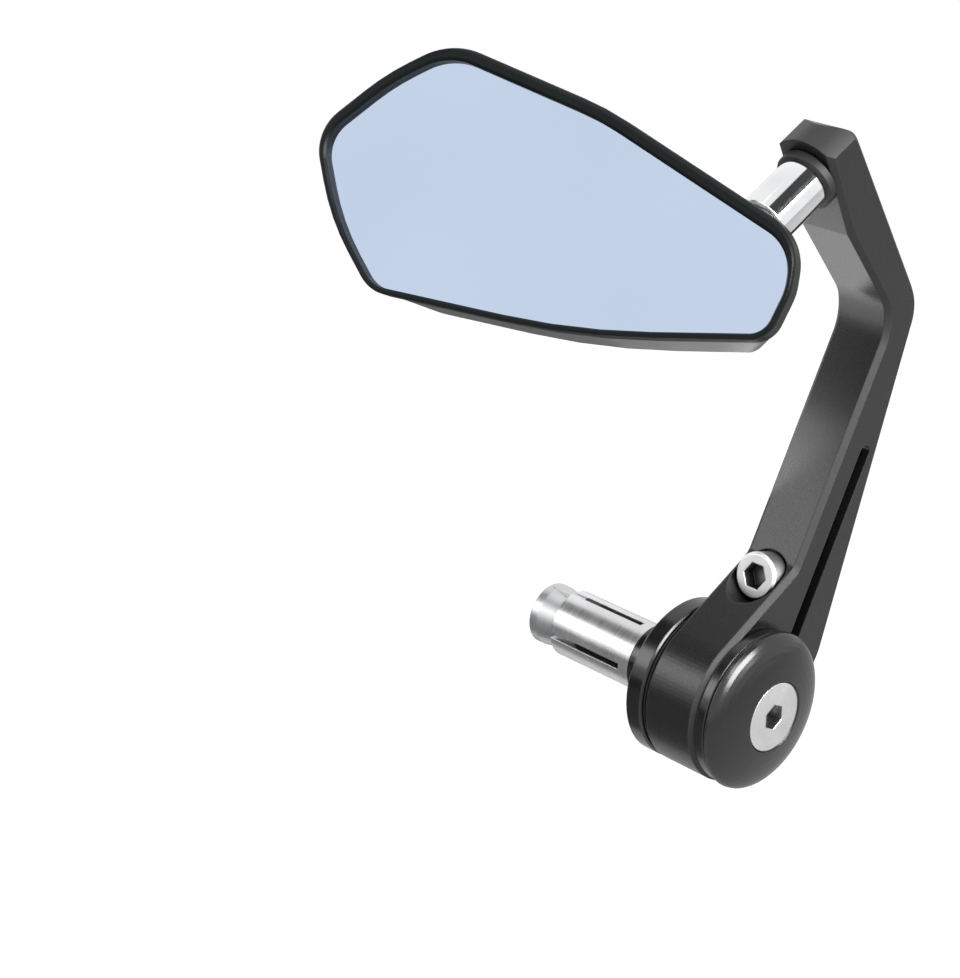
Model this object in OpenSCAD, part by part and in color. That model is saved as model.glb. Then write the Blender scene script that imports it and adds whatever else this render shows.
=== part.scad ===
// Bar-end mirror for a motorcycle, right-hand side, in millimetres.
// X runs outboard along the handlebar, -Y points back at the rider, Z is up.
// The origin lies on the bar's axis, in the plane where the bar's end meets the flange.

/* [Bar plug] */
// Outside diameter of the flange and of the clamp ring
ring_d = 34; // [32:0.5:38]
// Thickness of the flange that the bar's end meets
flange_t = 4.3; // [3.5:0.1:6]
// Outside diameter of the plug inside the bar
plug_d = 14.8; // [14:0.1:16]
// Length of the plug's solid collar next to the flange
collar_len = 8; // [5:0.5:10]
// Length of the split expander sleeve
sleeve_len = 23; // [20:1:32]
// Number of slits in the expander sleeve
sleeve_slits = 4; // [3:1:6]
// Width of each slit in the expander sleeve
sleeve_slit_w = 1.4; // [0.8:0.1:2]
// Diameter of the journal that the arm turns on
journal_d = 24; // [22:0.5:26]
// Thickness of the washer between flange and arm
washer_t = 0.4; // [0.3:0.1:0.8]
// Thread diameter of the screw along the bar's axis
bolt_d = 8; // [6:1:8]
// Head diameter of that screw
bolt_head_d = 14.8; // [13.5:0.1:16]

/* [End cap] */
// Width of the cap's plain step beside the arm
step_w = 2.3; // [1.5:0.1:4]
// How much smaller than the ring the step is, on radius
step_drop = 0.5; // [0.3:0.1:1.5]
// Width of the groove between step and dome
groove_w = 0.4; // [0.3:0.1:0.8]
// Height of the dome over its own edge
dome_h = 4.9; // [4:0.1:8]

/* [Arm] */
// Width of the arm and its clamp ring along the bar's axis
arm_w = 13.6; // [13:0.2:16]
// Chamfer on the arm's long edges
arm_chamfer = 1.1; // [0.5:0.1:1.5]
// Height of the bend above the bar's axis, measured at the front corner
bend_z = 75.1; // [70:0.5:80]
// Forward reach of the bend's front corner
bend_y = 48.8; // [46:0.5:52]
// Radius of both bends
bend_r = 10; // [7:0.5:13]
// Width of the clamp slit
slit_w = 3.3; // [2:0.1:3.6]
// Length of the clamp slit above the bar's axis
slit_len = 58; // [50:1:60]
// Lean of the slit, from upright
slit_lean = 28.9; // [27:0.1:30]
// Thread diameter of the pinch screw
pinch_d = 6; // [5:0.5:6]
// Head diameter of the pinch screw
pinch_head_d = 10; // [8.5:0.1:10.2]
// Length of the pinch screw under its head
pinch_len = 14; // [12:0.5:15]

/* [Stem] */
// Height of the stem's seat on the arm, above the bar's axis
seat_z = 106.35; // [104:0.5:110]
// Forward position of the stem's seat on the arm
seat_y = 18.7; // [16:0.5:20]
// Slope of the stem, falling towards the rider
stem_slope = 25.3; // [20:0.5:30]
// Diameter of the chromed stem
stem_d = 11; // [10:0.1:12]
// Distance from the stem's seat to the centre of its ball
stem_reach = 26; // [25:0.5:30]
// Thickness of the black collar between stem and arm
stem_collar_t = 2.2; // [1.5:0.1:3]
// Outside diameter of that collar
stem_collar_d = 12.8; // [12:0.1:14]
// Diameter of the stem's spigot in the arm
spigot_d = 8; // [7:0.1:8.5]
// Depth of the spigot in the arm
spigot_len = 4.5; // [4:0.1:5]
// Diameter of the ball
ball_d = 12; // [11:0.1:12.5]
// Diameter of the ball's neck
neck_d = 5.6; // [5:0.1:6]
// Wall of the plastic liner round the ball
liner_t = 1; // [0.8:0.1:1.2]

/* [Mirror head] */
// Turn of the glass away from straight back, towards outboard
head_pan = 20; // [10:1:25]
// Upward tilt of the glass
head_tilt = 26; // [20:1:30]
// Distance from the ball's centre to the front face of the bezel
head_front = 15.6; // [15:0.1:18]
// Depth of the rear shell
shell_depth = 14; // [13:0.5:16]
// Wall of the rear shell
shell_wall = 2; // [1.6:0.1:2.4]
// Height of the bezel, front to back
bezel_h = 4.6; // [4:0.1:5.5]
// Width of the bezel's face along the top edges
bezel_top_w = 2.7; // [2.4:0.1:3.6]
// Width of the bezel's face round the upper inboard corner
bezel_tip_w = 2.3; // [1.8:0.1:3]
// Width of the bezel's face along the inboard end
bezel_side_w = 1.5; // [1.2:0.1:2]
// Width of the bezel's face along the bottom and the outboard end
bezel_bottom_w = 1.2; // [1.1:0.1:1.6]
// Thickness of the mirror glass
glass_t = 2; // [1.8:0.1:2.2]
// Thickness of the foam pad behind the glass
pad_t = 0.8; // [0.6:0.1:1]
// Thickness of the plate that carries the glass
plate_t = 1.8; // [1.5:0.1:2.2]
// Thickness of the seal between bezel and shell
seal_t = 0.4; // [0.3:0.1:0.6]
// Thread diameter of the screws that hold plate and shell together
plate_screw_d = 2.5; // [2:0.1:3]

/* [Hidden] */
$fn = 96;
// Degrees of turn between two points of a rounded outline
arc_step = 5;
// Running clearance on radius between a shaft and its hole
run = 0.03;
// Gap between two flat faces that slide on each other
face_gap = 0.05;
// Free gap round a screw in a plain hole
screw_gap = 0.3;
// Overshoot of a cutter past the face that it cuts
over = 1;
// Width across the flats of a hexagon socket, as a share of the screw's thread
hex_share = 0.82;

ring_r = ring_d / 2;
journal_r = journal_d / 2;
plug_r = plug_d / 2;
// The solid collar centres the hub in the bar; the sleeve is slimmer until it is spread
collar_r = plug_r + 0.5;
bolt_r = bolt_d / 2;
bolt_bore_r = bolt_r + screw_gap / 2;

// Places along the bar's axis
washer_x = flange_t;
arm_x = washer_x + washer_t + face_gap;
arm_mid_x = arm_x + arm_w / 2;
cap_x = arm_x + arm_w + face_gap;
groove_x = cap_x + step_w;
dome_x = groove_x + groove_w;
bolt_head_x = dome_x + dome_h * sqrt(1 - pow(bolt_head_d / ring_d, 2)) - 0.2;
sleeve_end_x = -(collar_len + sleeve_len);
nut_len = 12;
nut_grip = 5;
nut_x = sleeve_end_x + nut_grip - nut_len;
nut_tip_r = bolt_r + 1;
nut_slope = (plug_r - 0.6 - nut_tip_r) / (nut_len - 2);

// The arm's side view: corners as [forward, up, radius], running up the front and down the back
stem_back = [cos(stem_slope), sin(stem_slope)];
stem_over = [-sin(stem_slope), cos(stem_slope)];
seat = [seat_y, seat_z];
barrel_r = 8.6;
seat_drop = 13.2;
jaw_front = [23.2, 3, 12];
bend_front = [bend_y, bend_z, bend_r];
bend_inner = [bend_y - 8.6, bend_z - 1.3, bend_r];
jaw_back = [13.5, 25.9, 4];
head_thick = 9.5;
// The outline stands clear of the round barrel that forms the hood
hood_tip = seat + (barrel_r + 0.6) * stem_over;
hood_back = meet(hood_tip, stem_back, [bend_y, bend_z], seat + head_thick * stem_back - [bend_y, bend_z]);
ledge = seat - seat_drop * stem_over;
front_angle = atan2(jaw_front.y, jaw_front.x) - acos(ring_r / norm(flat(jaw_front)));
back_angle = atan2(jaw_back.y, jaw_back.x) + acos(ring_r / norm(flat(jaw_back)));
ring_sweep = 360 + front_angle - back_angle;
ring_corners = [for (i = [0:2])
    let (a = back_angle + ring_sweep * (2 * i + 1) / 6, d = ring_r / cos(ring_sweep / 6))
    [d * cos(a), d * sin(a), ring_r]];
arm_corners = concat(
    [jaw_front, bend_front, [hood_back.x, hood_back.y, 6.6], [hood_tip.x, hood_tip.y, 0.6],
     [ledge.x, ledge.y, 0.6], bend_inner, jaw_back],
    ring_corners);

// The pinch screw crosses the slit square to the arm's front face
pinch_tilt = 18;
pinch_head_h = pinch_d;
pinch_face = [8.4, 24];
pinch_dir = [cos(pinch_tilt), -sin(pinch_tilt)];
pinch_seat = pinch_face + pinch_head_h * pinch_dir;
slit_offset = 7.05;

// Ball joint: the stem's axis runs from the ball back to the arm
ball_y = seat_y - stem_reach * stem_back.x;
ball_z = seat_z - stem_reach * stem_back.y;
ball_r = ball_d / 2;
liner_in_r = ball_r + run;
liner_out_r = liner_in_r + liner_t - run;
socket_r = liner_out_r + run;
ring_thread_r = socket_r + 1.2;
pod_r = ring_thread_r + 2;
socket_floor = -1;
mouth_at = 6;
mouth_angle = 50;
// Side slope of the clearing that the stem swings in
swing = 20;
stem_start = 10.5;
stem_end = stem_reach - stem_collar_t;
stem_screw_d = 5;
web_t = 2;
screw_seat = stem_reach + spigot_len + web_t;
// The ball's stud and the stem's screw share the stem's length, and their tips stay 2 mm apart
stud_thread = 0.75 * (stem_end - stem_start);
stem_screw_len = screw_seat - stem_start - stud_thread - 2;
ball_flat = 0.93 * ball_r;

// The head's outline seen from the front, as [across, up, radius], and the face's width on each edge
head_corners = [[17.8, 4.6, 10.4], [-23.9, 22.8, 60], [-58, 31.7, 15.4], [-70.7, 23.8, 48],
                [-83.8, 11, 8.9], [-76.5, -5.7, 48], [-65.2, -18.3, 8], [-21.2, -20.3, 160],
                [15.7, -15, 5.4], [18.3, -5.7, 12]];
bezel_widths = [bezel_top_w, bezel_top_w, bezel_tip_w, bezel_tip_w, bezel_side_w,
                bezel_bottom_w, bezel_bottom_w, bezel_bottom_w, bezel_bottom_w, bezel_bottom_w];
// Draft of the shell's side on each edge, as inward run per depth, and the radius at its back
shell_draft = [0.38, 0.38, 0.5, 0.5, 0.45, 0.45, -0.09, -0.09, 0.47, 0.47];
shell_round = 4;
bezel_back = head_front - bezel_h;
glass_front = head_front - 1.7;
glass_back = glass_front - glass_t;
plate_front = glass_back - pad_t;
plate_back = plate_front - plate_t;
shell_rim = bezel_back - seal_t;
shell_back = shell_rim - shell_depth;
rim_inset = 0.35;
plate_inset = rim_inset + shell_wall;
screw_spots = [[-63, 6], [-26, 10], [-27, -11]];
boss_r = plate_screw_d;

function flat(p) = [p.x, p.y];
function unit(v) = v / norm(v);
function cross2(a, b) = a.x * b.y - a.y * b.x;
// Where the line through p along d crosses the line through q along e
function meet(p, d, q, e) = p + d * cross2(q - p, e) / cross2(d, e);

// A closed outline with its corners rounded; each corner is [x, y, radius]
function rounded(c, step = arc_step) = let (n = len(c)) [for (i = [0:n - 1])
    each corner_arc(flat(c[(i + n - 1) % n]), flat(c[i]), flat(c[(i + 1) % n]), c[i].z, step)];
function corner_arc(p, q, s, r, step) =
    let (a = unit(p - q), b = unit(s - q), half = acos(a * b) / 2,
         centre = q + unit(a + b) * r / sin(half),
         from = q + a * r / tan(half) - centre, to = q + b * r / tan(half) - centre,
         start = atan2(from.y, from.x),
         sweep = (atan2(to.y, to.x) - start + 540) % 360 - 180,
         steps = max(2, ceil(abs(sweep) / step)))
    [for (i = [0:steps]) let (t = start + sweep * i / steps) centre + r * [cos(t), sin(t)]];

// Corners moved inwards by w[i] on the edge from corner i to the next one
function inset(c, w) = let (n = len(c)) [for (i = [0:n - 1])
    let (p = flat(c[(i + n - 1) % n]), q = flat(c[i]), s = flat(c[(i + 1) % n]),
         d = unit(q - p), e = unit(s - q), wa = w[(i + n - 1) % n], wb = w[i],
         m = meet(q + wa * [-d.y, d.x], d, q + wb * [-e.y, e.x], e),
         turn = cross2(d, e) > 0 ? -1 : 1)
    [m.x, m.y, max(0.3, c[i].z + turn * (wa + wb) / 2)]];
function even(c, w) = inset(c, [for (i = c) w]);
function lift(points, z) = [for (p = points) [p.x, p.y, z]];

// A solid through a stack of rings that all have the same number of points.
// A looped stack joins its last ring to its first and has no end faces.
module skin(rings, looped = false) {
    n = len(rings[0]);
    m = len(rings);
    last = looped ? m - 1 : m - 2;
    sides = [for (k = [0:last], i = [0:n - 1])
        let (j = (k + 1) % m, h = (i + 1) % n) [k * n + i, j * n + i, j * n + h, k * n + h]];
    ends = looped ? [] : [[for (i = [0:n - 1]) i], [for (i = [n - 1:-1:0]) (m - 1) * n + i]];
    polyhedron([for (r = rings) each r], concat(sides, ends), convexity = 6);
}

// Local frames: along the bar, flat in the arm's side view, along the stem, and square to the glass
module bar_frame(x = 0) { translate([x, 0, 0]) rotate([0, 90, 0]) children(); }
module side_frame(x = 0) { translate([x, 0, 0]) rotate([90, 0, 90]) children(); }
module stem_frame() { translate([arm_mid_x, ball_y, ball_z]) rotate([stem_slope - 90, 0, 0]) children(); }
module head_frame() {
    translate([arm_mid_x, ball_y, ball_z]) rotate([0, 0, head_pan]) rotate([90 - head_tilt, 0, 0]) children();
}
module pinch_frame() {
    translate([arm_mid_x, pinch_seat.x, pinch_seat.y]) rotate([90 - pinch_tilt, 0, 0]) children();
}

// A ring between two radii with a small bevel on its outer edges, standing on z = 0
module bevelled_ring(r, hole, h, bevel) {
    rotate_extrude() polygon([[hole, 0], [r - bevel, 0], [r, bevel], [r, h - bevel], [r - bevel, h], [hole, h]]);
}
module hex_hole(across, depth) {
    translate([0, 0, -depth]) cylinder(d = across / cos(30), h = depth + over, $fn = 6);
}

// Flange, journal and plug collar are turned from one bar
module hub() color([0.09, 0.09, 0.1]) difference() {
    union() {
        bar_frame() bevelled_ring(ring_r, bolt_bore_r, flange_t, 0.4);
        bar_frame(flange_t - over) cylinder(r = journal_r, h = cap_x - flange_t + over);
        bar_frame(-collar_len) cylinder(r = collar_r, h = collar_len + over);
    }
    bar_frame(-collar_len - over) cylinder(r = bolt_bore_r, h = cap_x + collar_len + 2 * over);
    bar_frame(cap_x - register_h - 0.3) cylinder(r = register_r + run, h = register_h + 0.3 + over);
}
register_h = 1.6;
register_r = journal_r - 3;

// Four fingers that the nut's cone spreads against the inside of the bar
module expander_sleeve() color([0.72, 0.72, 0.74]) difference() {
    bar_frame(sleeve_end_x) cylinder(r = plug_r, h = sleeve_len);
    bar_frame(sleeve_end_x - over) cylinder(r = nut_tip_r - 0.4, h = sleeve_len + 2 * over);
    bar_frame(sleeve_end_x - over)
        cylinder(r1 = cone_r(sleeve_end_x - over), r2 = cone_r(nut_x + nut_len), h = nut_grip + over);
    for (i = [0:sleeve_slits - 1])
        rotate([i * 360 / sleeve_slits, 0, 0])
            translate([sleeve_end_x - over, -sleeve_slit_w / 2, nut_tip_r - over])
                cube([sleeve_len - 3 + over, sleeve_slit_w, plug_r]);
}
// Radius of the nut's cone at a place along the bar's axis
function cone_r(x) = nut_tip_r + (nut_x + nut_len - x) * nut_slope + run;

module cone_nut() color([0.75, 0.73, 0.68]) {
    difference() {
        union() {
            bar_frame(nut_x + 2) cylinder(r1 = cone_r(nut_x + 2) - run, r2 = nut_tip_r, h = nut_len - 2);
            bar_frame(nut_x) cylinder(r = cone_r(nut_x + 2) - run, h = 2);
            for (side = [0, 180]) rotate([side, 0, 0]) nut_key();
        }
        bar_frame(nut_x - over) cylinder(r = bolt_r, h = nut_len + 2 * over);
    }
}
// The key slides in a slit, so that the nut can't turn with its screw
module nut_key() {
    translate([nut_x + 1, -sleeve_slit_w / 2 + 0.1, bolt_r + 0.5])
        cube([nut_len - 3, sleeve_slit_w - 0.2, plug_r - bolt_r - 1]);
}

module thrust_washer() color([0.03, 0.03, 0.03])
    bar_frame(washer_x) difference() {
        cylinder(r = ring_r - 0.8, h = washer_t);
        translate([0, 0, -over]) cylinder(r = journal_r + run, h = washer_t + 2 * over);
    }

// Step, groove and elliptical dome, with a countersink for the screw
dome_steps = 12;
module end_cap() color([0.09, 0.09, 0.1]) difference() {
    union() {
        bar_frame(cap_x - register_h) cylinder(r = register_r, h = register_h + over);
        bar_frame(cap_x) bevelled_ring(ring_r - step_drop, bolt_r, step_w, 0.2);
        bar_frame(groove_x - over) cylinder(r = ring_r - step_drop - 0.5, h = groove_w + 2 * over);
        bar_frame(dome_x) rotate_extrude() polygon(concat([[bolt_r, 0], [ring_r - 0.3, 0]],
            [for (i = [0:dome_steps]) let (a = 90 * i / dome_steps) [ring_r * cos(a), 0.3 + (dome_h - 0.3) * sin(a)]
                + (i == dome_steps ? [bolt_r, 0] : [0, 0])]));
    }
    bar_frame(cap_x - register_h - over) cylinder(r = bolt_bore_r, h = dome_h + dome_x);
    bar_frame(bolt_head_x - bolt_head_h) cylinder(r1 = bolt_r + screw_gap, r2 = bolt_head_d / 2 + screw_gap,
                                                  h = bolt_head_h);
    bar_frame(bolt_head_x - 0.01) cylinder(r = bolt_head_d / 2 + screw_gap, h = dome_h);
}
bolt_head_h = (bolt_head_d - bolt_d) / 2;

module cap_screw() color([0.86, 0.86, 0.87]) difference() {
    union() {
        bar_frame(nut_x - 1) cylinder(r = bolt_r, h = bolt_head_x - bolt_head_h - nut_x + 1 + 0.01);
        bar_frame(bolt_head_x - bolt_head_h) cylinder(r1 = bolt_r, r2 = bolt_head_d / 2, h = bolt_head_h - 0.3);
        bar_frame(bolt_head_x - 0.3) cylinder(r = bolt_head_d / 2, h = 0.3);
    }
    bar_frame(bolt_head_x) hex_hole(5, 4.2);
}

// Side view milled to its outline, chamfered on both faces, then bored, slit and counterbored
module arm() color([0.12, 0.12, 0.13]) difference() {
    intersection() {
        arm_blank();
        arm_hood();
    }
    bar_frame(arm_x - over) cylinder(r = journal_r + run, h = arm_w + 2 * over);
    arm_slit();
    pinch_frame() {
        cylinder(d = pinch_head_d + 1, h = 2 * ring_r);
        translate([0, 0, -pinch_through]) cylinder(d = pinch_d + screw_gap, h = pinch_through + over);
        translate([0, 0, -40]) cylinder(d = pinch_d, h = 40);
    }
    stem_frame() {
        translate([0, 0, stem_reach - over]) cylinder(d = spigot_d + 2 * run, h = spigot_len + face_gap + over);
        translate([0, 0, stem_reach]) cylinder(d = stem_screw_d + screw_gap, h = 3 * head_thick);
        translate([0, 0, screw_seat]) cylinder(d = stem_screw_d * 1.9, h = 3 * head_thick);
    }
}
// Depth of the plain hole, from the pinch screw's seat to the middle of the slit
pinch_through = 6;

// A core of full width inside a rim that has both of its edges chamfered
module arm_blank() side_frame(arm_x) {
    linear_extrude(arm_w) polygon(arm_outline(1.5));
    skin([
        lift(arm_outline(1), 0),
        lift(arm_outline(0), arm_chamfer),
        lift(arm_outline(0), arm_w - arm_chamfer),
        lift(arm_outline(1), arm_w),
        lift(arm_outline(2), arm_w),
        lift(arm_outline(2), 0)], looped = true);
}
// The arm's outline, drawn in by a number of chamfers
function arm_outline(chamfers) = rounded(even(arm_corners, chamfers * arm_chamfer), 3);

// Everything below the stem's axis, and only a round barrel above it
module arm_hood() {
    stem_frame() {
        translate([0, 0, stem_reach - 40]) cylinder(r = barrel_r, h = 80);
        translate([-2 * ring_r, 0, stem_reach - 8 * ring_r]) cube([4 * ring_r, 12 * ring_r, 16 * ring_r]);
    }
}

// The slit runs from the ring's bore up the arm, parallel to its back face, and ends round
module arm_slit() {
    side_frame(arm_x - over) linear_extrude(arm_w + 2 * over)
        rotate(-slit_lean) translate([slit_offset, 0]) {
            translate([-slit_w / 2, 2]) square([slit_w, slit_len - slit_w / 2 - 2]);
            translate([0, slit_len - slit_w / 2]) circle(d = slit_w);
        }
}

module pinch_screw() color([0.86, 0.86, 0.87]) pinch_frame() difference() {
    union() {
        bevelled_ring(pinch_head_d / 2, 0.5, pinch_head_h, 0.5);
        cylinder(r = 1, h = pinch_head_h);
        translate([0, 0, -pinch_len]) cylinder(d = pinch_d, h = pinch_len + over);
    }
    translate([0, 0, pinch_head_h]) hex_hole(5, 3.2);
}

// The chromed stem has a spigot in the arm, and threads for its screw and its ball
module stem() color([0.9, 0.9, 0.92]) stem_frame() difference() {
    union() {
        translate([0, 0, stem_start]) bevelled_ring(stem_d / 2, 1, stem_end - stem_start, 0.5);
        translate([0, 0, stem_end - over]) cylinder(d = spigot_d, h = spigot_len + stem_collar_t + over);
    }
    translate([0, 0, stem_start - over]) cylinder(d = stud_d, h = stud_thread + over);
    translate([0, 0, screw_seat - stem_screw_len]) cylinder(d = stem_screw_d, h = stem_screw_len);
}
stud_d = 6;

module stem_collar() color([0.05, 0.05, 0.05]) stem_frame() translate([0, 0, stem_end])
    bevelled_ring(stem_collar_d / 2, spigot_d / 2, stem_collar_t - face_gap, 0.3);

module stem_screw() color([0.3, 0.3, 0.32]) stem_frame() difference() {
    union() {
        translate([0, 0, screw_seat + 0.5 + face_gap]) cylinder(d = stem_screw_d * 1.7, h = 2.2);
        translate([0, 0, screw_seat - stem_screw_len]) cylinder(d = stem_screw_d, h = stem_screw_len + 1);
    }
    translate([0, 0, screw_seat + 0.5 + face_gap + 2.2]) hex_hole(3, 1.8);
}

module stem_washer() color([0.7, 0.7, 0.7]) stem_frame() translate([0, 0, screw_seat + face_gap]) difference() {
    cylinder(d = stem_screw_d * 1.7, h = 0.5);
    translate([0, 0, -over]) cylinder(d = stem_screw_d, h = 0.5 + 2 * over);
}

module ball_stud() color([0.8, 0.8, 0.8]) stem_frame() {
    difference() {
        sphere(r = ball_r);
        translate([0, 0, -ball_flat - ball_r]) cube(ball_d, center = true);
    }
    cylinder(d = neck_d, h = stem_start);
    translate([0, 0, stem_start]) cylinder(d = stud_d, h = stud_thread);
}

// A slotted ball cup; the stem tilts in it and the head pans round it
module ball_liner() color([0.92, 0.92, 0.88]) stem_frame() difference() {
    sphere(r = liner_out_r);
    sphere(r = liner_in_r);
    translate([-ball_d, -ball_d, liner_top]) cube(2 * ball_d);
    translate([0, 0, -liner_out_r - ball_flat]) cylinder(r = ball_r, h = liner_out_r);
    for (turn = [0, 90])
        rotate([0, 0, turn]) translate([-ball_d, -0.4, -1]) cube([2 * ball_d, 0.8, ball_d]);
}
liner_top = 0.66 * ball_r;

// Hollow shell with a socket for the ball at its outboard end
shell_levels = [0, 0.7, 0.78, 0.85, 0.91, 0.96, 0.99, 1];
module rear_shell() color([0.66, 0.67, 0.67]) difference() {
    union() {
        head_frame() skin([for (i = [len(shell_levels) - 1:-1:0]) shell_ring(shell_levels[i], 0)]);
        stem_frame() {
            sphere(r = pod_r);
            translate([0, 0, -2]) cylinder(r = pod_r, h = mouth_at + 2);
        }
    }
    difference() {
        head_frame() {
            skin([for (i = [len(shell_levels) - 1:-1:0]) shell_ring(shell_levels[i], shell_wall)]);
        }
        stem_frame() sphere(r = pod_r);
        stem_frame() cylinder(r = pod_r, h = mouth_at);
        head_frame() for (p = screw_spots) translate([p.x, p.y, shell_back]) cylinder(r = boss_r, h = plate_back - shell_back);
    }
    head_frame() skin([lift(rounded(even(head_corners, plate_inset)), plate_back),
                       lift(rounded(even(head_corners, plate_inset)), shell_rim + over)]);
    stem_frame() {
        sphere(r = socket_r);
        translate([0, 0, socket_floor]) cylinder(r = ring_thread_r, h = mouth_at - socket_floor);
        translate([0, 0, mouth_at - 0.01])
            cylinder(r1 = pod_r + 0.2, r2 = pod_r + 0.2 + 3 * pod_r * tan(swing), h = 3 * pod_r);
    }
    head_frame() for (p = screw_spots) translate([p.x, p.y, shell_back - over]) {
        cylinder(d = plate_screw_d + screw_gap, h = shell_depth + 2 * over);
        cylinder(d = 2 * plate_screw_d, h = over + screw_sink);
    }
}
screw_sink = 1.6;
// One ring of the shell: level 0 is its rim and level 1 its back, wall is the inset of the inner face
function shell_ring(level, wall) =
    let (depth = shell_depth - wall, back = max(0, 1 - (1 - level) * depth / shell_round),
         turn = shell_round * (1 - sqrt(1 - back * back)))
    lift(rounded(inset(head_corners, [for (d = shell_draft) rim_inset + wall + turn + d * level * depth])),
         shell_rim - level * depth);

// The threaded ring that closes the socket
module socket_ring() color([0.08, 0.08, 0.08]) stem_frame() difference() {
    translate([0, 0, socket_floor]) cylinder(r = ring_thread_r, h = mouth_at - socket_floor);
    sphere(r = socket_r);
    translate([0, 0, socket_r * cos(mouth_angle)])
        cylinder(r1 = socket_r * sin(mouth_angle), r2 = socket_r * sin(mouth_angle) + 1.1, h = mouth_at - socket_r * cos(mouth_angle) + 0.01);
    for (turn = [0, 90, 180, 270])
        rotate([0, 0, turn]) translate([ring_thread_r - 1, -0.8, mouth_at - 1.2]) cube([4, 1.6, 4]);
}

module rim_seal() color([0.04, 0.04, 0.04]) head_frame() skin([
    lift(rounded(even(head_corners, rim_inset)), shell_rim),
    lift(rounded(even(head_corners, rim_inset)), bezel_back),
    lift(rounded(even(head_corners, plate_inset)), bezel_back),
    lift(rounded(even(head_corners, plate_inset)), shell_rim)], looped = true);

module backing_plate() color([0.15, 0.15, 0.15]) head_frame() difference() {
    skin([lift(rounded(even(head_corners, plate_inset + 0.15)), plate_back),
          lift(rounded(even(head_corners, plate_inset + 0.15)), plate_front)]);
    for (p = screw_spots) translate([p.x, p.y, plate_back - over]) cylinder(d = plate_screw_d, h = plate_t + 2 * over);
}

module plate_screws() color([0.3, 0.3, 0.32]) head_frame() for (p = screw_spots)
    translate([p.x, p.y, shell_back]) difference() {
        union() {
            translate([0, 0, screw_sink - 1.3]) cylinder(d = 2 * plate_screw_d - 0.4, h = 1.3);
            translate([0, 0, screw_sink - 1]) cylinder(d = plate_screw_d, h = plate_front - 0.2 - shell_back - screw_sink + 1);
        }
        translate([0, 0, screw_sink - 1.3]) mirror([0, 0, 1]) hex_hole(1.5, 0.9);
    }

module glass_pad() color([0.2, 0.2, 0.2]) head_frame() skin([
    lift(rounded(glass_edge(1.5)), plate_front), lift(rounded(glass_edge(1.5)), glass_back)]);

module mirror_glass() color([0.72, 0.8, 0.92]) head_frame() skin([
    lift(rounded(glass_edge(0)), glass_back),
    lift(rounded(glass_edge(0)), glass_front - 0.3),
    lift(rounded(glass_edge(0.3)), glass_front)]);
// Share of the face's width, and fixed step, at which the glass ends under the bezel's lip
function glass_edge(more) = inset(head_corners, [for (w = bezel_widths) 0.5 * w + 0.2 + more]);

module bezel() color([0.1, 0.11, 0.12]) head_frame() skin([for (p = bezel_section)
    lift(rounded(inset(head_corners, [for (w = bezel_widths) p.x * w + p.y])), p.z)], looped = true);
// Section of the bezel: share of the face's width, fixed step inwards, height
bezel_section = [
    [0, 0.25, bezel_back], [0, 0, bezel_back + 0.25], [0, 0, head_front - 0.8], [0.1, 0, head_front - 0.3],
    [0.3, 0, head_front], [0.75, 0, head_front], [1, 0, head_front - 0.4], [1, 0, glass_front],
    [0.5, 0.1, glass_front], [0.5, 0.1, bezel_back]];

hub();
expander_sleeve();
cone_nut();
thrust_washer();
end_cap();
cap_screw();
arm();
pinch_screw();
stem();
stem_collar();
stem_screw();
stem_washer();
ball_stud();
ball_liner();
rear_shell();
socket_ring();
rim_seal();
backing_plate();
plate_screws();
glass_pad();
mirror_glass();
bezel();
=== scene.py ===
"""Studio scene of a motorcycle's bar-end mirror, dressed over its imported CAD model.

Lengths are in metres in the part's own frame: +X runs outboard along the handlebar, -Y points back
at the rider and +Z is up. The origin is on the bar's axis, where the bar's end meets the flange.
"""

from __future__ import annotations

import logging
import math
from dataclasses import dataclass
from enum import Enum

import bpy
from mathutils import Matrix, Vector


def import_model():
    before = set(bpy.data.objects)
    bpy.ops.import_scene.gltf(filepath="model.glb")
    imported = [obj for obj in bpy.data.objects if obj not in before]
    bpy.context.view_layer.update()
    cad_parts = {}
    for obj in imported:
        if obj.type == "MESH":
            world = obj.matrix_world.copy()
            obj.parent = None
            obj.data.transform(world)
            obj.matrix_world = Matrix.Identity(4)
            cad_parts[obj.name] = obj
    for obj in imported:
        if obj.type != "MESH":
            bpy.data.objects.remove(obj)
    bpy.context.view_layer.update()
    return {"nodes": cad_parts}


LOG = logging.getLogger("mirror")
Colour = tuple[float, float, float]
Point = tuple[float, float, float]
Socket = bpy.types.NodeSocket
Nodes = dict[str, bpy.types.Object]

MM = 0.001
WHITE = (1.0, 1.0, 1.0, 1.0)
MATT = 0.9  # roughness of the floor and the cards
MIX_FROM, MIX_TO, MIX_RESULT = 6, 7, 2  # sockets of a Mix node for colours


class Grain(Enum):
    """Fine tool marks on a metal surface, by the number of marks in a metre along each axis."""

    TURNED = (6000.0, 6000.0, 0.0)  # rings: along the bar's axis, and away from it
    POLISHED = (300.0, 9000.0, 300.0)  # fine lines at a slant to the stem
    MILLED = (6000.0, 3000.0, 3000.0)
    BLASTED = (4500.0, 4500.0, 4500.0)


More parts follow.
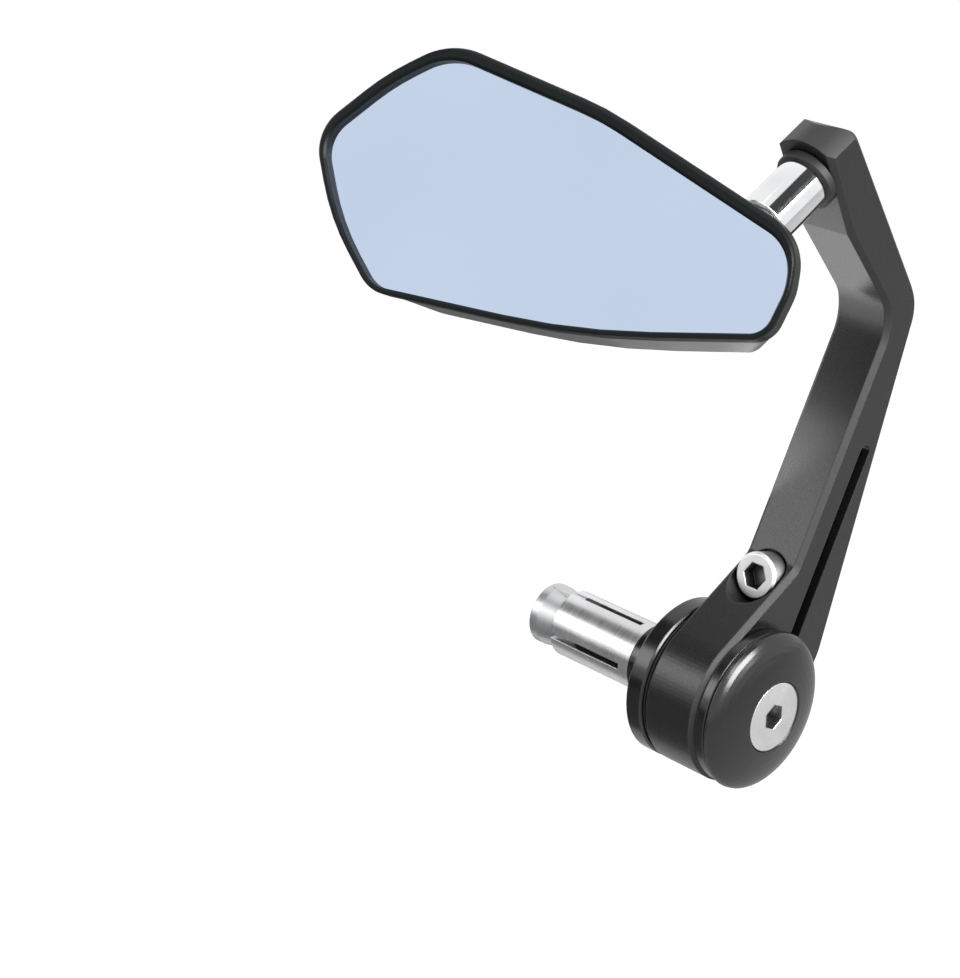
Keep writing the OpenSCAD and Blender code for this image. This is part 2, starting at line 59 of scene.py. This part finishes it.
class Graph:
    """Node tree of one finish, with the few node patterns that this object's finishes share."""

    noise_roughness: float = 0.55
    pattern_middle: tuple[float, float] = (0.3, 0.7)  # the range that most of a noise lies in
    edge_cosines: tuple[float, float] = (0.995, 0.9)  # of the rounding: wear starts, wear is full
    open_shares: tuple[float, float] = (0.35, 0.9)  # of the sky: painted shade is full, painted shade ends
    edge_samples: int = 6
    shade_samples: int = 8

    def __init__(self, name: str, colour: Colour, metallic: float, roughness: float) -> None:
        """Starts a material.

        Args:
            name: The material's name.
            colour: Linear base colour.
            metallic: 0 for an anodised, painted or moulded surface, 1 for bare metal.
            roughness: Mean roughness.
        """
        self.material = bpy.data.materials.new(name)
        self.material.use_nodes = True
        self.material.diffuse_color = (*colour, 1.0)
        self.tree = self.material.node_tree
        self.tree.nodes.clear()
        self.shader = self.tree.nodes.new("ShaderNodeBsdfPrincipled")
        output = self.tree.nodes.new("ShaderNodeOutputMaterial")
        self.tree.links.new(self.shader.outputs["BSDF"], output.inputs["Surface"])
        self.put("Base Color", (*colour, 1.0))
        self.put("Metallic", metallic)
        self.put("Roughness", roughness)

    def put(self, name: str, value: float | tuple[float, ...]) -> None:
        """Sets a plain value on the surface shader."""
        self.shader.inputs[name].default_value = value

    def feed(self, name: str, source: Socket) -> None:
        """Links a pattern to the surface shader."""
        self.tree.links.new(source, self.shader.inputs[name])

    def node(
        self,
        kind: str,
        links: dict[str | int, Socket] | None = None,
        values: dict[str | int, object] | None = None,
        **settings: object,
    ) -> bpy.types.Node:
        """Adds a node.

        Args:
            kind: Blender's name of the node type.
            links: Sockets that feed the node's inputs, by input name or index.
            values: Plain input values, by input name or index.
            **settings: The node's own settings.

        Returns:
            The new node.
        """
        made = self.tree.nodes.new(kind)
        for key, value in settings.items():
            setattr(made, key, value)
        for key, value in (values or {}).items():
            made.inputs[key].default_value = value
        for key, source in (links or {}).items():
            self.tree.links.new(source, made.inputs[key])
        return made

    def reckon(self, operation: str, *terms: Socket | float) -> Socket:
        """Reckons with sockets and plain numbers.

        Args:
            operation: Blender's name of the operation.
            *terms: The node's inputs in their order.

        Returns:
            The result's socket.
        """
        linked = {i: term for i, term in enumerate(terms) if isinstance(term, Socket)}
        plain = {i: term for i, term in enumerate(terms) if i not in linked}
        return self.node("ShaderNodeMath", linked, plain, operation=operation).outputs[0]

    def place(self, stretch: Point = (1.0, 1.0, 1.0), turn: Point = (0.0, 0.0, 0.0)) -> Socket:
        """Gives the part's own coordinates, turned and then stretched.

        Args:
            stretch: Scale along each axis, after the turn.
            turn: Euler angles in degrees.

        Returns:
            The coordinate socket.
        """
        where = self.node("ShaderNodeTexCoord").outputs["Object"]
        angles = tuple(math.radians(a) for a in turn)
        turned = self.node("ShaderNodeMapping", {"Vector": where}, {"Rotation": angles})
        links = {"Vector": turned.outputs["Vector"]}
        return self.node("ShaderNodeMapping", links, {"Scale": stretch}).outputs["Vector"]

    def rings(self) -> Socket:
        """Gives coordinates of the place along the bar's axis and the distance from it."""
        where = self.node("ShaderNodeTexCoord").outputs["Object"]
        split = self.node("ShaderNodeSeparateXYZ", {"Vector": where}).outputs
        flat = self.node("ShaderNodeCombineXYZ", {"Y": split["Y"], "Z": split["Z"]})
        away = self.node("ShaderNodeVectorMath", {0: flat.outputs["Vector"]}, operation="LENGTH")
        links = {"X": split["X"], "Y": away.outputs["Value"]}
        return self.node("ShaderNodeCombineXYZ", links).outputs["Vector"]

    def noise(self, where: Socket, scale: float, detail: float) -> Socket:
        """Gives a soft random pattern from 0 to 1."""
        values = {"Scale": scale, "Detail": detail, "Roughness": self.noise_roughness}
        return self.node("ShaderNodeTexNoise", {"Vector": where}, values).outputs["Fac"]

    def spread(self, pattern: Socket, low: float, high: float) -> Socket:
        """Stretches the middle of a pattern to run from low to high."""
        start, end = self.pattern_middle
        values = {"From Min": start, "From Max": end, "To Min": low, "To Max": high}
        return self.node("ShaderNodeMapRange", {"Value": pattern}, values).outputs["Result"]

    def drift(self, pattern: Socket, colour: Colour, share: float) -> Socket:
        """Lets a colour drift with a pattern.

        Args:
            pattern: The pattern, from 0 to 1.
            colour: The mean colour.
            share: How much darker and lighter the colour becomes, as a share of itself.

        Returns:
            The drifting colour.
        """
        dark, light = ((*(c * k for c in colour), 1.0) for k in (1.0 - share, 1.0 + share))
        links = {"Factor": self.spread(pattern, 0.0, 1.0)}
        values = {MIX_FROM: dark, MIX_TO: light}
        return self.node("ShaderNodeMix", links, values, data_type="RGBA").outputs[MIX_RESULT]

    def waver(self, pattern: Socket, middle: float, reach: float) -> Socket:
        """Lets a number drift with a pattern, by the same amount up and down."""
        return self.spread(pattern, middle - reach, middle + reach)

    def edges(self, reach: float) -> tuple[Socket, Socket]:
        """Rounds the look of sharp edges.

        Args:
            reach: Radius of the rounding, in metres.

        Returns:
            The rounded normal, and a mask that is 0 on flat faces and rises on edges.
        """
        rounder = self.node("ShaderNodeBevel", values={"Radius": reach}, samples=self.edge_samples)
        soft = rounder.outputs["Normal"]
        true = self.node("ShaderNodeNewGeometry").outputs["Normal"]
        along = self.node("ShaderNodeVectorMath", {0: soft, 1: true}, operation="DOT_PRODUCT")
        start, end = self.edge_cosines
        values = {"From Min": start, "From Max": end, "To Min": 0.0, "To Max": 1.0}
        mask = self.node("ShaderNodeMapRange", {"Value": along.outputs["Value"]}, values)
        return soft, mask.outputs["Result"]

    def slanted(self) -> Socket:
        """Gives a mask that is 1 on faces at 45 degrees to the bar's axis, such as chamfers.

        Returns:
            The mask's socket, which falls to 0 on faces along the axis and across it.
        """
        facing = self.node("ShaderNodeTexCoord").outputs["Normal"]
        outboard = self.node("ShaderNodeSeparateXYZ", {"Vector": facing}).outputs["X"]
        across = self.reckon("MULTIPLY", outboard, outboard)
        both = self.reckon("MULTIPLY", across, self.reckon("SUBTRACT", 1.0, across))
        return self.reckon("MULTIPLY", both, 4.0)

    def shaded(self, colour: Socket, reach: float, depth: float) -> Socket:
        """Paints shade into a colour in holes and grooves, where the part's own walls hide the
        sky.

        Args:
            colour: The colour without painted shade.
            reach: Width of the holes that count, in metres.
            depth: Painted shade in the deepest holes, from 0 to 1.

        Returns:
            The colour with painted shade.
        """
        sky = self.node("ShaderNodeAmbientOcclusion", values={"Distance": reach},
                        samples=self.shade_samples)
        full, unshaded_share = self.open_shares
        values = {"From Min": full, "From Max": unshaded_share, "To Min": 1.0 - depth, "To Max": 1.0}
        level = self.node("ShaderNodeMapRange", {"Value": sky.outputs["AO"]}, values)
        grey = self.node("ShaderNodeCombineXYZ", dict.fromkeys("XYZ", level.outputs["Result"]))
        links = {0: colour, 1: grey.outputs["Vector"]}
        return self.node("ShaderNodeVectorMath", links, operation="MULTIPLY").outputs["Vector"]

    def bump(self, height: Socket, depth: float, normal: Socket) -> Socket:
        """Turns a height pattern into a normal.

        Args:
            height: The pattern, from 0 to 1.
            depth: Height of the relief, in metres.
            normal: The normal that the relief lies on.

        Returns:
            The normal socket.
        """
        links = {"Height": height, "Normal": normal}
        values = {"Distance": depth, "Strength": 1.0}
        return self.node("ShaderNodeBump", links, values).outputs["Normal"]


@dataclass(frozen=True)
class Metal:
    """Machined metal, bare or anodised: fine grain, a little colour drift, worn edges and painted
    shade in holes.

    Patches are the soft clouds in which colour and wear drift, by their number in a metre.
    """

    name: str
    colour: Colour
    metallic: float
    roughness: float
    grain: Grain
    edge_colour: Colour
    edge_wear: float
    edge_reach: float = 0.35 * MM
    relief: float = 0.0008 * MM
    sheen_drift: float = 0.05
    specular: float = 0.5
    chamfer_dulling: float = 0.0
    painted_shade: float = 0.3
    painted_shade_reach: float = 2.5 * MM
    patches: float = 90.0
    patch_detail: float = 2.0
    patch_drift: float = 0.1
    least_wear: float = 0.4
    grain_detail: float = 4.0
    stem_slope: float = 25.3

    def make(self) -> bpy.types.Material:
        """Builds the material."""
        graph = Graph(self.name, self.colour, self.metallic, self.roughness)
        graph.put("Specular IOR Level", self.specular)
        fine = graph.noise(self._where(graph), 1.0, self.grain_detail)
        broad = graph.noise(graph.place(), self.patches, self.patch_detail)
        soft, edge = graph.edges(self.edge_reach)
        patchy = graph.reckon("MULTIPLY", edge, graph.spread(broad, self.least_wear, 1.0))
        links = {"Factor": graph.reckon("MULTIPLY", patchy, self.edge_wear),
                 MIX_FROM: graph.drift(broad, self.colour, self.patch_drift)}
        values = {MIX_TO: (*self.edge_colour, 1.0)}
        worn = graph.node("ShaderNodeMix", links, values, data_type="RGBA").outputs[MIX_RESULT]
        # Painted shade: the colour darkens in holes and grooves, where the part's own walls hide
        # the sky
        graph.feed("Base Color", graph.shaded(worn, self.painted_shade_reach, self.painted_shade))
        gloss = graph.waver(fine, self.roughness, self.sheen_drift)
        if self.chamfer_dulling:
            gloss = graph.reckon("MULTIPLY_ADD", graph.slanted(), self.chamfer_dulling, gloss)
        graph.feed("Roughness", gloss)
        graph.feed("Normal", graph.bump(fine, self.relief, soft))
        return graph.material

    def _where(self, graph: Graph) -> Socket:
        """Gives the grain's coordinates, so that a noise of scale 1 has the grain's pitch."""
        pitch = self.grain.value
        if self.grain is Grain.TURNED:
            links = {0: graph.rings()}
            scaled = graph.node("ShaderNodeVectorMath", links, {1: pitch}, operation="MULTIPLY")
            return scaled.outputs["Vector"]
        if self.grain is Grain.POLISHED:
            return graph.place(pitch, (self.stem_slope, 0.0, 0.0))
        return graph.place(pitch)


@dataclass(frozen=True)
class Moulded:
    """Moulded plastic, rubber or foam with a fine random texture."""

    name: str
    colour: Colour
    roughness: float
    pitch: float
    relief: float = 0.01 * MM
    detail: float = 3.0
    colour_drift: float = 0.2
    sheen_drift: float = 0.06
    edge_reach: float = 0.2 * MM

    def make(self) -> bpy.types.Material:
        """Builds the material."""
        graph = Graph(self.name, self.colour, 0.0, self.roughness)
        fine = graph.noise(graph.place(), 1.0 / self.pitch, self.detail)
        soft, _ = graph.edges(self.edge_reach)
        graph.feed("Base Color", graph.drift(fine, self.colour, self.colour_drift))
        graph.feed("Roughness", graph.waver(fine, self.roughness, self.sheen_drift))
        graph.feed("Normal", graph.bump(fine, self.relief, soft))
        return graph.material


@dataclass(frozen=True)
class Silvered:
    """Faintly blue mirror glass: an even silver coat with slow colour drift behind flat glass."""

    name: str
    colour: Colour
    roughness: float = 0.03
    colour_clouds: float = 22.0
    cloud_detail: float = 1.0
    colour_drift: float = 0.015
    haze_clouds: float = 160.0
    haze_detail: float = 4.0
    haze_drift: float = 0.015
    glass_weight: float = 0.6
    glass_roughness: float = 0.02

    def make(self) -> bpy.types.Material:
        """Builds the material."""
        graph = Graph(self.name, self.colour, 1.0, self.roughness)
        slow = graph.noise(graph.place(), self.colour_clouds, self.cloud_detail)
        haze = graph.noise(graph.place(), self.haze_clouds, self.haze_detail)
        graph.feed("Base Color", graph.drift(slow, self.colour, self.colour_drift))
        graph.feed("Roughness", graph.waver(haze, self.roughness, self.haze_drift))
        graph.put("Coat Weight", self.glass_weight)
        graph.put("Coat Roughness", self.glass_roughness)
        return graph.material


Finish = Metal | Moulded | Silvered

TURNED_BLACK = Metal("turned_black_anodised", (0.009, 0.009, 0.010), 0.0, 0.2, Grain.TURNED,
                     (0.22, 0.22, 0.23), 0.3, specular=0.65)
CAP_BLACK = Metal("cap_black_anodised", (0.009, 0.009, 0.010), 0.0, 0.22, Grain.TURNED,
                  (0.22, 0.22, 0.23), 0.3, specular=0.7)
MILLED_BLACK = Metal("milled_black_anodised", (0.013, 0.013, 0.014), 0.0, 0.3, Grain.MILLED,
                     (0.26, 0.26, 0.27), 0.25, specular=0.6, chamfer_dulling=0.32)
BEZEL_BLACK = Metal("bezel_black_anodised", (0.006, 0.009, 0.010), 0.0, 0.36, Grain.BLASTED,
                    (0.12, 0.13, 0.14), 0.12, specular=0.16)
BARE_ALUMINIUM = Metal("bare_aluminium", (0.74, 0.74, 0.75), 1.0, 0.3, Grain.TURNED,
                       (0.9, 0.9, 0.9), 0.2)
SATIN_SILVER = Metal("satin_silver_anodised", (0.41, 0.42, 0.41), 1.0, 0.36, Grain.BLASTED,
                     (0.85, 0.85, 0.85), 0.1, edge_reach=0.9 * MM)
# The steel screws get strong painted shade in their sockets
BRIGHT_STEEL = Metal("bright_stainless", (0.8, 0.8, 0.81), 1.0, 0.28, Grain.TURNED,
                     (0.95, 0.95, 0.95), 0.4, painted_shade=0.85, painted_shade_reach=4.0 * MM)
SCREW_STEEL = Metal("screw_stainless", (0.9, 0.9, 0.91), 1.0, 0.36, Grain.BLASTED,
                    (0.97, 0.97, 0.97), 0.4, painted_shade=0.95, painted_shade_reach=5.0 * MM)
ZINC_STEEL = Metal("zinc_plated", (0.62, 0.63, 0.64), 1.0, 0.35, Grain.BLASTED,
                   (0.8, 0.8, 0.78), 0.3)
BLACK_STEEL = Metal("black_oxide", (0.03, 0.03, 0.032), 0.5, 0.38, Grain.BLASTED,
                    (0.35, 0.35, 0.36), 0.5)
CHROME = Metal("chrome", (0.88, 0.89, 0.9), 1.0, 0.06, Grain.POLISHED, (0.95, 0.95, 0.95), 0.1,
               relief=0.0005 * MM, sheen_drift=0.02, painted_shade=0.0)
BLACK_PLASTIC = Moulded("black_plastic", (0.02, 0.02, 0.021), 0.5, 0.4 * MM)
PALE_PLASTIC = Moulded("pale_plastic", (0.78, 0.76, 0.7), 0.45, 0.5 * MM)
SEAL_FOAM = Moulded("seal_foam", (0.012, 0.012, 0.012), 0.85, 0.15 * MM, 0.04 * MM)
BLUE_MIRROR = Silvered("blue_mirror_glass", (0.535, 0.63, 0.8))


def dress(nodes: Nodes, finish: Finish, *names: str) -> None:
    """Gives CAD nodes a finish in every material slot.

    Args:
        nodes: The frame's nodes by name.
        finish: The finish to build.
        *names: The nodes that get it.
    """
    material = finish.make()
    for name in names:
        mesh = nodes[name].data
        if not mesh.materials:
            mesh.materials.append(material)
        for index in range(len(mesh.materials)):
            mesh.materials[index] = material
        LOG.info("%s: %s", name, finish.name)


@dataclass(frozen=True)
class BarPlug:
    """Flange, journal, expander and end cap on the handlebar's axis."""

    flange: Finish = TURNED_BLACK
    cap: Finish = CAP_BLACK
    sleeve: Finish = BARE_ALUMINIUM
    nut: Finish = ZINC_STEEL
    washer: Finish = BLACK_PLASTIC
    screw: Finish = BRIGHT_STEEL

    def build(self, nodes: Nodes) -> None:
        """Dresses the plug's nodes."""
        dress(nodes, self.flange, "hub")
        dress(nodes, self.cap, "end_cap")
        dress(nodes, self.sleeve, "expander_sleeve")
        dress(nodes, self.nut, "cone_nut")
        dress(nodes, self.washer, "thrust_washer")
        dress(nodes, self.screw, "cap_screw")


@dataclass(frozen=True)
class ClampArm:
    """The cranked arm with its pinch screw."""

    arm: Finish = MILLED_BLACK
    screw: Finish = SCREW_STEEL

    def build(self, nodes: Nodes) -> None:
        """Dresses the arm's nodes."""
        dress(nodes, self.arm, "arm")
        dress(nodes, self.screw, "pinch_screw")


@dataclass(frozen=True)
class StemJoint:
    """The chromed stem with its ball, collar, screw and liner."""

    stem: Finish = CHROME
    collar: Finish = BLACK_PLASTIC
    screw: Finish = BLACK_STEEL
    ball: Finish = ZINC_STEEL
    liner: Finish = PALE_PLASTIC

    def build(self, nodes: Nodes) -> None:
        """Dresses the stem's nodes."""
        dress(nodes, self.stem, "stem")
        dress(nodes, self.collar, "stem_collar")
        dress(nodes, self.screw, "stem_screw")
        dress(nodes, self.ball, "stem_washer", "ball_stud")
        dress(nodes, self.liner, "ball_liner")


@dataclass(frozen=True)
class MirrorHead:
    """Glass, bezel and rear shell."""

    glass: Finish = BLUE_MIRROR
    bezel: Finish = BEZEL_BLACK
    shell: Finish = SATIN_SILVER
    ring: Finish = TURNED_BLACK
    foam: Finish = SEAL_FOAM
    plate: Finish = BLACK_PLASTIC
    screws: Finish = BLACK_STEEL

    def build(self, nodes: Nodes) -> None:
        """Dresses the head's nodes."""
        dress(nodes, self.glass, "mirror_glass")
        dress(nodes, self.bezel, "bezel")
        dress(nodes, self.shell, "rear_shell")
        dress(nodes, self.ring, "socket_ring")
        dress(nodes, self.foam, "rim_seal", "glass_pad")
        dress(nodes, self.plate, "backing_plate")
        dress(nodes, self.screws, "plate_screws")


def outward(azimuth: float, elevation: float) -> Vector:
    """Gives the direction from the object towards a place round it.

    Args:
        azimuth: Degrees round the vertical: 0 on the rider's side, 90 outboard.
        elevation: Degrees above the horizontal.

    Returns:
        The direction, of length 1.
    """
    a, e = math.radians(azimuth), math.radians(elevation)
    return Vector((math.sin(a) * math.cos(e), -math.cos(a) * math.cos(e), math.sin(e)))


@dataclass(frozen=True)
class Aim:
    """A place round the object, which faces a target in it."""

    azimuth: float
    elevation: float
    distance: float
    target: Point = (0.0, 0.0, 0.05)

    def matrix(self) -> Matrix:
        """Gives the place, with the local Z axis pointing away from the target."""
        away = outward(self.azimuth, self.elevation)
        turn = away.to_track_quat("Z", "Y").to_matrix().to_4x4()
        return Matrix.Translation(Vector(self.target) + away * self.distance) @ turn


@dataclass(frozen=True)
class Lamp:
    """A rectangular softbox that faces the object, and that no view sees by itself."""

    name: str
    aim: Aim
    width: float
    height: float
    radiance: float
    only_reflected: bool = False

    def build(self) -> None:
        """Adds the lamp."""
        data = bpy.data.lights.new(self.name, "AREA")
        data.shape = "RECTANGLE"
        data.size, data.size_y = self.width, self.height
        data.energy = self.radiance * math.pi * self.width * self.height
        lamp = bpy.data.objects.new(self.name, data)
        lamp.matrix_world = self.aim.matrix()
        lamp.visible_diffuse = not self.only_reflected
        lamp.visible_camera = False
        bpy.context.scene.collection.objects.link(lamp)
        LOG.info("lamp %s", self.name)


@dataclass(frozen=True)
class Card:
    """A plain card that only shows in reflections."""

    name: str
    place: Matrix
    width: float
    height: float
    grey: float

    def build(self) -> None:
        """Adds the card."""
        card = sheet(self.name, self.width, self.height, self.place)
        card.data.materials.append(Graph(self.name, (self.grey,) * 3, 0.0, MATT).material)
        card.visible_camera = False
        card.visible_shadow = False
        card.visible_diffuse = False


def sheet(name: str, width: float, height: float, place: Matrix) -> bpy.types.Object:
    """Makes a flat sheet.

    Args:
        name: The object's name.
        width: Its size along its own X axis.
        height: Its size along its own Y axis.
        place: Its place in the frame.

    Returns:
        The new object.
    """
    x, y = width / 2, height / 2
    mesh = bpy.data.meshes.new(name)
    mesh.from_pydata([(-x, -y, 0), (x, -y, 0), (x, y, 0), (-x, y, 0)], [], [(0, 1, 2, 3)])
    made = bpy.data.objects.new(name, mesh)
    made.matrix_world = place
    bpy.context.scene.collection.objects.link(made)
    return made


@dataclass(frozen=True)
class Studio:
    """Pale floor, soft lamps and the camera at the photograph's angle.

    The world and the floor are brighter to views and reflections than they light, so that they
    read as white.
    """

    azimuth: float = 46.274
    elevation: float = 24.534
    camera_at: Point = (0.285924, -0.331500, 0.241231)
    focal_px: float = 2375.0
    frame_px: float = 978.0
    sensor_mm: float = 36.0
    clip_range: tuple[float, float] = (0.02, 20.0)
    ambient: float = 0.45
    backdrop: float = 1.0
    floor_z: float = -0.2
    floor_size: float = 4.0
    floor_grey: float = 0.8
    floor_seen: float = 0.6
    floor_mirrored: float = 0.2
    lamps: tuple[Lamp, ...] = (
        Lamp("key", Aim(60.0, 58.0, 0.9), 0.4, 0.4, 3.0),
        Lamp("outboard_panel", Aim(91.0, 31.0, 0.8), 0.64, 0.44, 16.0, True),
        # Brightens the arm's underside below the stem, and turns its back to the mirror head
        Lamp("low_panel", Aim(-20.5, -30.3, 0.06, (-0.023, 0.0875, 0.063)), 0.1, 0.08, 1.8, True),
        Lamp("front", Aim(-41.0, 25.0, 0.8), 0.34, 0.3, 2.8),
        Lamp("top", Aim(-20.0, 80.0, 1.0), 0.5, 0.5, 1.2),
    )
    cards: tuple[Card, ...] = (
        Card("floor_card", Matrix.Translation((-0.36, -0.34, -0.084)), 0.66, 0.62, 0.25),
        Card("rear_card", Matrix.Translation((-0.24, 0.15, -0.083)), 0.28, 0.28, 0.15),
        Card("low_card", Aim(-41.0, -10.0, 0.6, (0.0, 0.0, 0.02)).matrix(), 0.5, 0.26, 0.02),
        Card("left_card", Aim(-70.0, 49.0, 0.55, (0.0, 0.0, 0.02)).matrix(), 0.36, 0.24, 0.04),
        Card("stem_card", Aim(113.0, 53.0, 0.25, (0.012, 0.012, 0.103)).matrix(),
             0.12, 0.2, 0.1),
    )

    def build(self) -> None:
        """Adds everything that isn't part of the object."""
        self._camera()
        self._world()
        self._floor()
        for extra in (*self.lamps, *self.cards):
            extra.build()

    def _camera(self) -> None:
        """Places the camera without shift or blur."""
        back = outward(self.azimuth, self.elevation)
        a = math.radians(self.azimuth)
        right = Vector((math.cos(a), math.sin(a), 0.0))
        data = bpy.data.cameras.new("camera")
        data.sensor_width = self.sensor_mm
        data.lens = self.focal_px / self.frame_px * self.sensor_mm
        data.clip_start, data.clip_end = self.clip_range
        camera = bpy.data.objects.new("camera", data)
        turn = Matrix((right, back.cross(right), back)).transposed()
        camera.matrix_world = Matrix.Translation(self.camera_at) @ turn.to_4x4()
        bpy.context.scene.collection.objects.link(camera)
        bpy.context.scene.camera = camera

    def _world(self) -> None:
        """Lights evenly from all round, and shows white to camera, glossy and clear rays."""
        world = bpy.data.worlds.new("studio")
        world.use_nodes = True
        tree = world.node_tree
        background = tree.nodes["Background"]
        background.inputs["Color"].default_value = WHITE
        path = tree.nodes.new("ShaderNodeLightPath")
        seen = path.outputs["Is Camera Ray"]
        for name in ("Is Glossy Ray", "Is Transmission Ray"):
            either = tree.nodes.new("ShaderNodeMath")
            either.operation = "MAXIMUM"
            tree.links.new(seen, either.inputs[0])
            tree.links.new(path.outputs[name], either.inputs[1])
            seen = either.outputs[0]
        level = tree.nodes.new("ShaderNodeMapRange")
        level.inputs["To Min"].default_value = self.ambient
        level.inputs["To Max"].default_value = self.backdrop
        tree.links.new(seen, level.inputs["Value"])
        tree.links.new(level.outputs["Result"], background.inputs["Strength"])
        bpy.context.scene.world = world

    def _floor(self) -> None:
        """Adds the pale floor, which glows a little to views and less to reflections."""
        place = Matrix.Translation((0.0, 0.0, self.floor_z))
        floor = sheet("floor", self.floor_size, self.floor_size, place)
        graph = Graph("pale_floor", (self.floor_grey,) * 3, 0.0, MATT)
        path = graph.node("ShaderNodeLightPath").outputs
        mirrored = graph.reckon("MULTIPLY", path["Is Glossy Ray"], self.floor_mirrored)
        glow = graph.reckon("MULTIPLY_ADD", path["Is Camera Ray"], self.floor_seen, mirrored)
        graph.put("Emission Color", WHITE)
        graph.feed("Emission Strength", glow)
        floor.data.materials.append(graph.material)


def main() -> None:
    logging.basicConfig(level=logging.INFO, format="%(name)s: %(message)s")
    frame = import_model()
    bpy.context.scene.view_settings.view_transform = "Standard"
    Studio().build()
    for part in (BarPlug(), ClampArm(), StemJoint(), MirrorHead()):
        part.build(frame["nodes"])
    LOG.info("boxes written")


if __name__ == "__main__":
    main()
